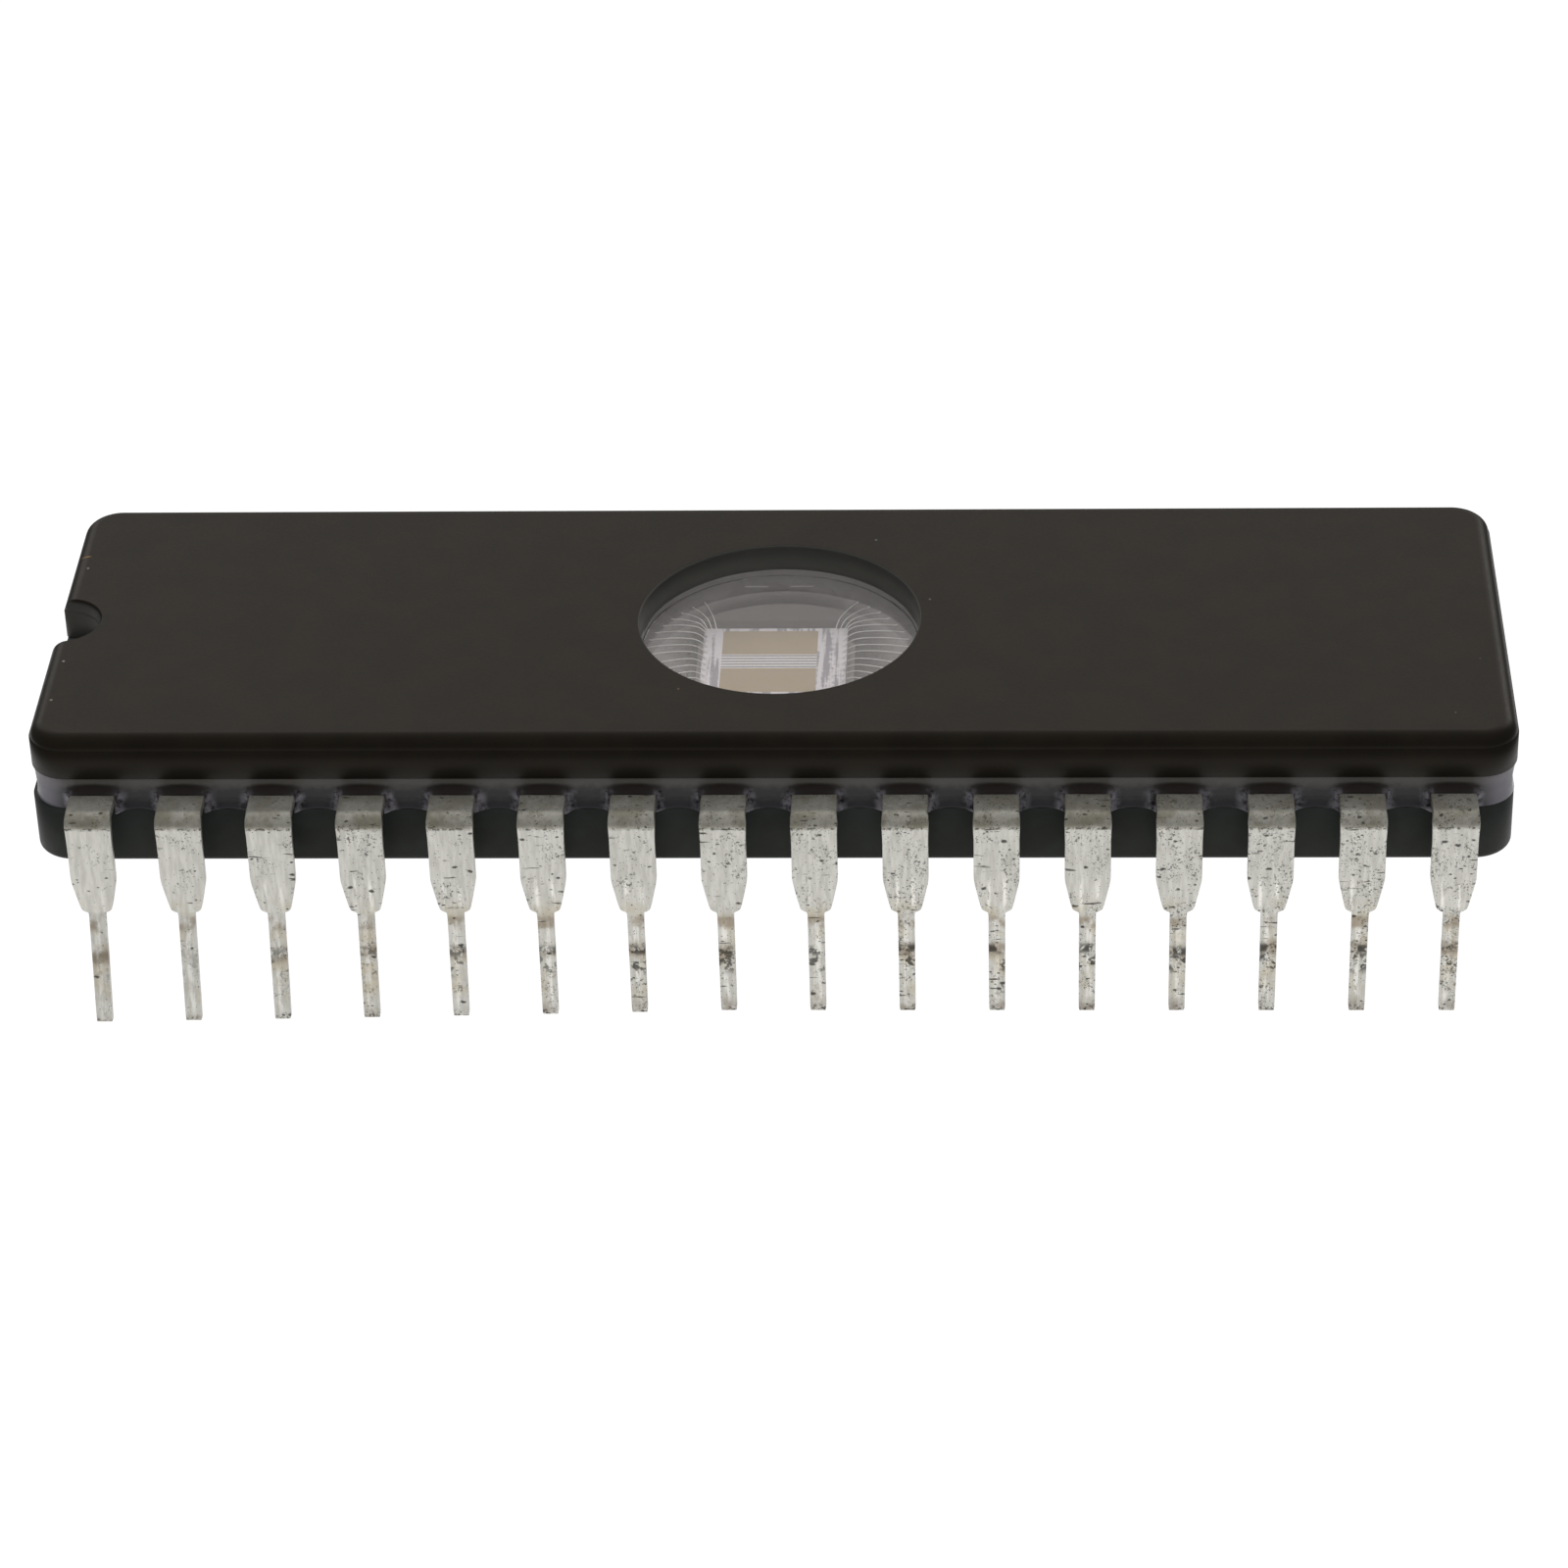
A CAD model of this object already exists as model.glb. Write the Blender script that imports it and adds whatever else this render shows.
import math

import bmesh
import bpy
from mathutils import Matrix, Vector
from mathutils import noise as mathNoise


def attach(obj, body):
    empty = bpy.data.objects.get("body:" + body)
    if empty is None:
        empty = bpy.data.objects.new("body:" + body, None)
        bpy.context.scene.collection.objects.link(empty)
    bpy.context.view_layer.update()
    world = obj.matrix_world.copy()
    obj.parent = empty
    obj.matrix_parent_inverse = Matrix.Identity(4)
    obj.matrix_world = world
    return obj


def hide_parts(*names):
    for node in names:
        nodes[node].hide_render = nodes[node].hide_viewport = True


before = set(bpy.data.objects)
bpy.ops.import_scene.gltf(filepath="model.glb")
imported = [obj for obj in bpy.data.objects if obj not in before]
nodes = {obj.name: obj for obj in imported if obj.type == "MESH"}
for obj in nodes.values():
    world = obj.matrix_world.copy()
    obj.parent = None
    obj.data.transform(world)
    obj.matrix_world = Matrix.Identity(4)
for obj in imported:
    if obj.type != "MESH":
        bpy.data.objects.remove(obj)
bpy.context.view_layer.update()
scene = bpy.context.scene
mm = 0.001
print("stage: frame loaded")

# sizes of the part, in millimetres, as in its source
body = dict(
    halfLength=20.88,
    baseShift=0.05,
    baseEdge=0.18,
    halfWidth=6.45,
    baseBottom=4.26,
    baseTop=6.03,
    capBottom=7.03,
    capTop=8.33,
    cornerRadius=1.1,
    edgeRadius=0.42,
    edgeStep=0.03,
    notchRadius=1.08,
    notchCentre=-20.73,
    notchSoft=(0.14, 0.05),
    notchDrop=(0.03, 0.15),
)
window = dict(
    centreX=0.1,
    radius=4.035,
    bottom=7.03,
    top=7.53,
    rimRound=0.06,
    clearance=0.012,
    tone=(0.985, 0.985, 0.99),
    index=1.47,
    gleam=0.02,
    hazeNear=(0.26, 0.243, 0.235),
    hazeFar=(1.0, 0.94, 0.92),
    hazeShare=0.105,
    hazeWaver=0.6,
    hazeFades=(2.8, 4.1),
    hazeRings=((4.19, 7.022), (4.2, 7.0235), (4.2, 7.0255), (4.19, 7.027)),
)
die = dict(
    centreX=-0.1,
    length=4.2,
    width=3.6,
    top=6.57,
    cavityBottom=5.93,
    cavityLength=5.04,
    cavityWidth=4.44,
    cavityRadius=0.4,
)
leads = dict(
    perRow=16,
    pitch=2.54,
    rowY=7.62,
    thickness=0.25,
    middleZ=6.455,
    neckY=5.35,
    fingerY=5.0,
    bendY=7.295,
    bendZ=6.13,
    bendRadius=0.325,
    shoulderZ=3.38,
    leaning=7,
    leanMost=12.0,
    fanRadius=3.9,
    fanStart=4.5,
    fanStep=6.3,
)


# small helpers for node trees

# a socket takes a constant, another socket or a node's first output
def plug(tree, socket, value):
    if isinstance(value, bpy.types.Node):
        value = value.outputs[0]
    if isinstance(value, bpy.types.NodeSocket):
        tree.links.new(value, socket)
    else:
        socket.default_value = value


def setInputs(tree, node, inputs):
    for key, value in inputs.items():
        plug(tree, node.inputs[key], value)


def addNode(tree, kind, inputs=None, **settings):
    made = tree.nodes.new(kind)
    for key, value in settings.items():
        setattr(made, key, value)
    setInputs(tree, made, inputs or {})
    return made


def calc(tree, operation, *values):
    made = addNode(tree, "ShaderNodeMath", operation=operation)
    for place, value in enumerate(values):
        plug(tree, made.inputs[place], value)
    return made.outputs[0]


def product(tree, first, *others):
    for other in others:
        first = calc(tree, "MULTIPLY", first, other)
    return first


def largest(tree, first, *others):
    for other in others:
        first = calc(tree, "MAXIMUM", first, other)
    return first


# value times factor, plus offset
def scaled(tree, value, factor, offset):
    return calc(tree, "MULTIPLY_ADD", value, factor, offset)


def vector(tree, operation, *values):
    made = addNode(tree, "ShaderNodeVectorMath", operation=operation)
    for place, value in enumerate(values):
        plug(tree, made.inputs[place], value)
    return made.outputs["Value" if operation == "LENGTH" else "Vector"]


# 0 before start and 1 after end
def smooth(tree, value, start, end):
    made = addNode(tree, "ShaderNodeMapRange",
                   {"Value": value, "From Min": start, "From Max": end}, interpolation_type="SMOOTHSTEP")
    return made.outputs[0]


def between(tree, value, low, high, soft):
    up = smooth(tree, value, low - soft, low + soft)
    down = smooth(tree, value, high + soft, high - soft)
    return calc(tree, "MULTIPLY", up, down)


# the product of one mask for each value: two numbers are a step, and three are a band's low
# edge, high edge and softness; a number after the spans is the strength of the whole
def within(tree, spans, *values):
    masks = [(between if len(span) == 3 else smooth)(tree, value, *span)
             for span, value in zip(spans, values)]
    return product(tree, *masks, *spans[len(values):])


def solid(tone, level=1.0):
    return tuple(level * part for part in tone) + (1.0,)


def mixColour(tree, amount, first, second):
    made = addNode(tree, "ShaderNodeMix", data_type="RGBA")
    plug(tree, made.inputs[0], amount)
    plug(tree, made.inputs[6], first)
    plug(tree, made.inputs[7], second)
    return made.outputs[2]


# lays a tone over a colour
def layer(tree, colour, amount, tone):
    return mixColour(tree, amount, colour, solid(tone))


def noiseAt(tree, place, scale, detail=2.0, rough=0.5):
    made = addNode(tree, "ShaderNodeTexNoise",
                   {"Vector": place, "Scale": scale, "Detail": detail, "Roughness": rough})
    return made.outputs["Fac"]


# round spots of that size, in a share of the cells of a loose grid
def specks(tree, place, scale, size, share):
    cells = addNode(tree, "ShaderNodeTexVoronoi", {"Vector": place, "Scale": scale})
    pick = addNode(tree, "ShaderNodeSeparateColor", {"Color": cells.outputs["Color"]})
    near = smooth(tree, cells.outputs["Distance"], size * scale, size * scale * 0.5)
    chosen = calc(tree, "LESS_THAN", pick.outputs[0], share)
    return calc(tree, "MULTIPLY", near, chosen)


# distance in plan from a point of the part's long axis
def planDistance(tree, place, x):
    off = vector(tree, "SUBTRACT", place, (x, 0.0, 0.0))
    return vector(tree, "LENGTH", vector(tree, "MULTIPLY", off, (1.0, 1.0, 0.0)))


# 1 on the walls of the end notch
def notchMask(tree, place, axes):
    away = planDistance(tree, place, body["notchCentre"])
    outer, inner = (body["notchRadius"] + reach for reach in body["notchSoft"])
    upper, lower = (body["capTop"] - drop for drop in body["notchDrop"])
    return within(tree, ((outer, inner), (upper, lower)), away, axes[2])


def startMaterial(name):
    made = bpy.data.materials.new(name)
    made.use_nodes = True
    tree = made.node_tree
    shader = tree.nodes["Principled BSDF"]
    spot = addNode(tree, "ShaderNodeTexCoord")
    place = vector(tree, "MULTIPLY", spot.outputs["Object"], (1 / mm, 1 / mm, 1 / mm))
    axes = addNode(tree, "ShaderNodeSeparateXYZ", {0: place})
    return made, tree, shader, place, axes.outputs


def addBump(tree, shader, height, strength, distance):
    made = addNode(tree, "ShaderNodeBump",
                   {"Height": height, "Strength": strength, "Distance": distance * mm})
    tree.links.new(made.outputs[0], shader.inputs["Normal"])


def dress(name, material):
    obj = nodes[name]
    obj.data.materials.clear()
    obj.data.materials.append(material)


def newPiece(name, bm, material, node):
    bmesh.ops.recalc_face_normals(bm, faces=bm.faces)
    mesh = bpy.data.meshes.new(name)
    bm.to_mesh(mesh)
    bm.free()
    mesh.transform(Matrix.Scale(mm, 4))
    mesh.materials.append(material)
    obj = bpy.data.objects.new(name, mesh)
    scene.collection.objects.link(obj)
    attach(obj, "root")
    if node:
        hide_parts(node)
    return obj


# camera, as fitted to the photograph

shot = dict(
    elevation=33.428,
    azimuth=3.011,
    roll=-1.759,
    distance=153.28,
    target=(0.082, 0.0, 2.586),
    focal=5317.6,
    frame=1600,
)


def makeCamera():
    elevation = math.radians(shot["elevation"])
    azimuth = math.radians(shot["azimuth"])
    roll = math.radians(shot["roll"])
    back = Vector((math.sin(azimuth) * math.cos(elevation),
                   -math.cos(azimuth) * math.cos(elevation), math.sin(elevation)))
    right = Vector((math.cos(azimuth), math.sin(azimuth), 0))
    up = back.cross(right)
    turnedRight = math.cos(roll) * right + math.sin(roll) * up
    turnedUp = math.cos(roll) * up - math.sin(roll) * right
    data = bpy.data.cameras.new("photoCamera")
    data.sensor_width = 36
    data.lens = 36 * shot["focal"] / shot["frame"]
    data.clip_start = 0.01
    data.clip_end = 20
    camera = bpy.data.objects.new("photoCamera", data)
    scene.collection.objects.link(camera)
    spot = (Vector(shot["target"]) + back * shot["distance"]) * mm
    turn = Matrix((turnedRight, turnedUp, back)).transposed().to_4x4()
    camera.matrix_world = Matrix.Translation(spot) @ turn
    scene.camera = camera


makeCamera()

# light, floor and world, in metres

studio = dict(
    world=0.2,
    lamps={
        "rearBox": {"at": (0.0, 0.46, 0.27), "size": (0.9, 0.42), "level": 0.66,
                    "tone": (1.0, 0.94, 0.88)},
        "skyBox": {"at": (0.0, 0.14, 0.5), "size": (0.6, 0.2), "level": 0.35},
        "leftBox": {"at": (-0.28, 0.48, 0.25), "size": (0.16, 0.16), "level": 1.3},
        "rightBox": {"at": (0.3, 0.48, 0.25), "size": (0.16, 0.16), "level": 2.6},
        "fillBox": {"at": (0.0, -0.1, 0.6), "size": (0.8, 0.8), "level": 1.0, "mirrored": False},
    },
    floor=0.9,
    floorGlow=0.88,
    floorLift=0.15,
    floorFades=(0.028, 0.014),
    floorHalf=(0.021, 0.028),
    floorShift=0.02,
    floorSize=3.0,
    floorDrop=0.00001,
)


# what the camera sees, and what the camera, a mirror or a window sees
def seenDirectly(tree):
    path = addNode(tree, "ShaderNodeLightPath").outputs
    camera = path["Is Camera Ray"]
    return camera, largest(tree, camera, path["Is Glossy Ray"], path["Is Transmission Ray"])


def makeWorld():
    world = bpy.data.worlds.new("studioWorld")
    scene.world = world
    world.use_nodes = True
    tree = world.node_tree
    tree.nodes.clear()
    camera, _ = seenDirectly(tree)
    level = scaled(tree, camera, 1 - studio["world"], studio["world"])
    light = addNode(tree, "ShaderNodeBackground", {"Color": (1, 1, 1, 1), "Strength": level})
    end = addNode(tree, "ShaderNodeOutputWorld")
    tree.links.new(light.outputs[0], end.inputs[0])


def makeLamps():
    for name, lamp in studio["lamps"].items():
        data = bpy.data.lights.new(name, "AREA")
        data.shape = "RECTANGLE"
        data.size, data.size_y = lamp["size"]
        data.energy = lamp["level"] * math.pi * data.size * data.size_y
        data.color = lamp.get("tone", (1.0, 1.0, 1.0))
        obj = bpy.data.objects.new(name, data)
        obj.location = lamp["at"]
        obj.rotation_euler = Vector(lamp["at"]).to_track_quat("Z", "Y").to_euler()
        obj.visible_camera = False
        obj.visible_glossy = lamp.get("mirrored", True)
        scene.collection.objects.link(obj)


# white to the camera, and mirrored only near the part
def floorPaint():
    paint = bpy.data.materials.new("floorPaint")
    paint.use_nodes = True
    tree = paint.node_tree
    shader = tree.nodes["Principled BSDF"]
    camera, direct = seenDirectly(tree)
    pale = mixColour(tree, direct, solid((1, 1, 1), studio["floor"]), solid((1, 1, 1)))
    setInputs(tree, shader, {"Base Color": pale, "Roughness": 1, "Specular IOR Level": 0})
    spot = addNode(tree, "ShaderNodeTexCoord")
    axes = addNode(tree, "ShaderNodeSeparateXYZ", {0: spot.outputs["Object"]}).outputs
    outX = calc(tree, "SUBTRACT", calc(tree, "ABSOLUTE", axes[0]), studio["floorHalf"][0])
    shifted = calc(tree, "ABSOLUTE", calc(tree, "ADD", axes[1], studio["floorShift"]))
    outY = calc(tree, "SUBTRACT", shifted, studio["floorHalf"][1])
    near = smooth(tree, largest(tree, outX, outY), *studio["floorFades"])
    strength = largest(tree, product(tree, camera, 1 + studio["floorLift"]), near)
    glow = addNode(tree, "ShaderNodeEmission", {"Color": (1, 1, 1, 1), "Strength": strength})
    share = calc(tree, "MULTIPLY", direct, studio["floorGlow"])
    both = addNode(tree, "ShaderNodeMixShader",
                   {0: share, 1: shader, 2: glow})
    tree.links.new(both.outputs[0], tree.nodes["Material Output"].inputs[0])
    return paint


def makeFloor():
    bm = bmesh.new()
    bmesh.ops.create_grid(bm, x_segments=1, y_segments=1, size=studio["floorSize"] / 2)
    bmesh.ops.translate(bm, verts=bm.verts, vec=(0, 0, -studio["floorDrop"]))
    mesh = bpy.data.meshes.new("floor")
    bm.to_mesh(mesh)
    bm.free()
    mesh.materials.append(floorPaint())
    floor = bpy.data.objects.new("floor", mesh)
    scene.collection.objects.link(floor)


makeWorld()
makeLamps()
makeFloor()
scene.view_settings.view_transform = "Standard"
print("stage: camera and studio")

# materials

ceramicLook = dict(
    cap=(0.0105, 0.0085, 0.0058),
    base=(0.031, 0.037, 0.0355),
    boreTop=(0.065, 0.066, 0.061),
    boreFoot=(0.19, 0.19, 0.175),
    boreSoft=(0.06, 0.02),
    notch=(0.060, 0.060, 0.056),
    tint=(1.0, 0.9, 0.78),
    roughness=0.34,
    roughGrain=0.16,
    index=1.288,
    cloudRange=(0.35, 0.65),
    cloudLevels=(0.85, 1.18),
    rust={"spots": (0.9, 0.045, 0.05), "amount": 0.5, "tone": (0.07, 0.035, 0.02)},
    dust={"spots": (1.1, 0.028, 0.10), "amount": 0.7, "tone": (0.25, 0.24, 0.22)},
    dustHeight=0.6,
    bump=(0.25, 0.006),
)

# chips and specks on the cap that the photograph shows: place, half size, tone
marks = [
    ((-20.52, 3.56, 8.2), (0.16, 0.035, 0.3), (0.30, 0.17, 0.06)),
    ((-20.38, 2.89, 8.2), (0.04, 0.05, 0.3), (0.24, 0.24, 0.22)),
    ((-20.33, -2.25, 8.2), (0.045, 0.055, 0.3), (0.28, 0.28, 0.26)),
    ((-20.37, -4.31, 8.2), (0.05, 0.05, 0.3), (0.21, 0.21, 0.19)),
    ((2.79, 4.35, 8.3), (0.04, 0.05, 0.2), (0.12, 0.12, 0.11)),
    ((4.42, 0.99, 8.3), (0.04, 0.05, 0.2), (0.10, 0.10, 0.10)),
    ((-2.62, -3.81, 8.3), (0.035, 0.05, 0.2), (0.12, 0.07, 0.05)),
]
markEdge = (1.25, 0.6)


def ceramicMaterial(name, tone):
    made, tree, shader, place, axes = startMaterial(name)
    look = ceramicLook
    cloud = noiseAt(tree, place, 0.7, 3.0)
    grain = noiseAt(tree, place, 11.0, 2.0, 0.7)
    dark, light = (solid(tone, level) for level in look["cloudLevels"])
    colour = mixColour(tree, smooth(tree, cloud, *look["cloudRange"]), dark, light)
    spots = {}
    for kind in ("rust", "dust"):
        spots[kind] = specks(tree, place, *look[kind]["spots"])
        colour = layer(tree, colour, product(tree, spots[kind], look[kind]["amount"]), look[kind]["tone"])
    # the bore's wall is ground, and paler
    away = planDistance(tree, place, window["centreX"])
    outer, inner = (window["radius"] + reach for reach in look["boreSoft"])
    bore = within(tree, ((outer, inner), (body["capBottom"] - 0.1, body["capBottom"])), away, axes[2])
    wall = mixColour(tree, smooth(tree, axes[2], body["capTop"], window["top"]),
                     solid(look["boreTop"]), solid(look["boreFoot"]))
    colour = mixColour(tree, bore, colour, wall)
    colour = layer(tree, colour, notchMask(tree, place, axes), look["notch"])
    for spot, half, markTone in marks:
        spread = vector(tree, "DIVIDE", vector(tree, "SUBTRACT", place, spot), half)
        colour = layer(tree, colour, smooth(tree, vector(tree, "LENGTH", spread), *markEdge), markTone)
    setInputs(tree, shader, {
        "Base Color": colour, "Specular Tint": solid(look["tint"]), "IOR": look["index"],
        "Roughness": scaled(tree, grain, look["roughGrain"], look["roughness"])})
    addBump(tree, shader, scaled(tree, spots["dust"], look["dustHeight"], grain), *look["bump"])
    return made


capCeramic = ceramicMaterial("capCeramic", ceramicLook["cap"])
baseCeramic = ceramicMaterial("baseCeramic", ceramicLook["base"])

sealLook = dict(
    top=(0.125, 0.117, 0.108),
    middle=(0.046, 0.043, 0.046),
    bottom=(0.010, 0.009, 0.012),
    pale=(0.42, 0.405, 0.46),
    brown=(0.020, 0.015, 0.013),
    inside=(0.036, 0.033, 0.034),
    arch=(0.011, 0.009, 0.014),
    notch=(0.075, 0.077, 0.078),
    waver=0.3,
    lowerBand=(6.12, 6.5),
    upperBand=(6.55, 6.92),
    archFoot=6.02,
    archRise=0.24,
    archCurve=-2.6,
    archWaver=0.1,
    archEdge=((0.1, 0.0), 0.85),
    filmWaver=0.4,
    film=((0.25, 0.6), (6.75, 6.4), (0.34, 0.6), (0.76, 0.66), 0.6),
    ends=((19.6, 20.4), 0.45),
    lensHeight=6.70,
    lensHalf=(0.76, 0.16),
    lensEdge=((1.7, 0.2), 0.95),
    cavity=((5.6, 5.4), (5.2, 5.0)),
    cavityRough=0.6,
    roughness=0.25,
    index=1.32,
    bump=(0.35, 0.04),
)


def sealMaterial():
    made, tree, shader, place, axes = startMaterial("sealGlass")
    look = sealLook
    halfPitch = leads["pitch"] / 2
    # 0 in the middle of a gap, half a pitch at a lead
    along = calc(tree, "PINGPONG", axes[0], halfPitch)
    wobble = noiseAt(tree, place, 2.2, 3.0)
    cloud = noiseAt(tree, place, 3.4, 3.0, 0.6)
    height = scaled(tree, cloud, look["waver"], calc(tree, "SUBTRACT", axes[2], look["waver"] / 2))
    colour = mixColour(tree, smooth(tree, height, *look["lowerBand"]),
                       solid(look["bottom"]), solid(look["middle"]))
    colour = layer(tree, colour, smooth(tree, height, *look["upperBand"]), look["top"])
    # a dark arch in each gap
    curve = scaled(tree, product(tree, along, along), look["archCurve"], 1.0)
    arch = scaled(tree, largest(tree, curve, 0.0), look["archRise"], look["archFoot"])
    over = scaled(tree, wobble, look["archWaver"], calc(tree, "SUBTRACT", axes[2], arch))
    colour = layer(tree, colour, within(tree, look["archEdge"], over), look["arch"])
    # a dark lens of glass over each lead
    lensX = calc(tree, "DIVIDE", calc(tree, "SUBTRACT", halfPitch, along), look["lensHalf"][0])
    lensZ = calc(tree, "DIVIDE", calc(tree, "SUBTRACT", axes[2], look["lensHeight"]), look["lensHalf"][1])
    lens = calc(tree, "ADD", product(tree, lensX, lensX), product(tree, lensZ, lensZ))
    colour = layer(tree, colour, within(tree, look["lensEdge"], lens), look["brown"])
    # a pale film beside each lead and on the two ends
    side = scaled(tree, wobble, look["filmWaver"], calc(tree, "SUBTRACT", along, look["filmWaver"] / 2))
    film = within(tree, look["film"], side, axes[2], cloud, along)
    awayX, awayY = (calc(tree, "ABSOLUTE", axis) for axis in (axes[0], axes[1]))
    colour = layer(tree, colour, largest(tree, film, within(tree, look["ends"], awayX)), look["pale"])
    cavity = within(tree, look["cavity"], awayX, awayY)
    colour = layer(tree, colour, cavity, look["inside"])
    colour = layer(tree, colour, notchMask(tree, place, axes), look["notch"])
    setInputs(tree, shader, {
        "Base Color": colour, "IOR": look["index"],
        "Roughness": scaled(tree, cavity, look["cavityRough"], look["roughness"])})
    addBump(tree, shader, noiseAt(tree, place, 3.0, 3.0), *look["bump"])
    return made


sealGlass = sealMaterial()

leadLook = dict(
    tin=(0.825, 0.812, 0.75),
    dull=(0.66, 0.648, 0.59),
    bright=(1.0, 0.98, 0.92),
    grime=(0.045, 0.040, 0.032),
    stain=(0.27, 0.245, 0.155),
    sealed=(0.045, 0.041, 0.042),
    plated=(0.42, 0.41, 0.40),
    rust=(0.20, 0.13, 0.07),
    warm=(0.62, 0.54, 0.38),
    metallic=0.68,
    roughness=0.3,
    roughFine=0.2,
    roughSealed=0.4,
    roughDirt=0.3,
    bump=(0.35, 0.01),
)

# spans for within(), and the sizes and slopes of what they act on
leadWear = dict(
    rowStep=37.0,
    drawnOut=(1.0, 1.0, 0.16),
    drawn=(0.3, 0.7),
    sway=0.12,
    wipe=((0.18, 0.27, 0.05), (0.2, 0.75), (3.5, 4.45, 0.25)),
    pin=((0.35, 3.2, 0.2), (0.1, 0.05), 0.6),
    rubbed=(0.36, 0.56),
    warm=((0.5, 3.7, 0.4), (0.44, 0.64), 0.55),
    stain=(6.2, 6.6, 0.06),
    stainCloud=(0.38, 0.62),
    stainShares=(0.42, 0.28),
    worn=(0.018, 0.52),
    shake=0.09,
    pitSquash=(0.6, 1.0, 1.0),
    pits=((3.4, 0.062, 0.9), (6.0, 0.034, 0.8)),
    dust=(12.0, 0.018),
    scratchOut=(0.22, 1.0, 2.2),
    scratch=((0.66, 0.72), (0.46, 0.56)),
    grit=((0.56, 0.62), (0.50, 0.60), 0.8),
    gritSlope=0.003,
    seam=((6.16, 6.24, 0.03), (0.5, 0.6), 0.8),
    ringAt=(0.22, 1.98),
    ring=((0.25, 0.04), (0.44, 0.54)),
    drips=((1.35, 2.0, 0.2), (0.53, 0.6)),
    ringAlong=(-24.0, 12.0),
    ringChance=12.0,
    tip=((0.3, 0.05), (0.5, 0.62)),
    rustRing=(0.4, 0.1),
    rustTip=(0.6, 0.1),
    rustBand=(2.85, 3.25, 0.1),
    rust=((0.40, 0.58), 0.5),
    dirtShare=0.8,
    dirtDepth=0.8,
    sealed=(6.0, 5.9),
    plated=((4.1, 4.19, 0.02), (1.4, 1.3)),
)


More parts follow.
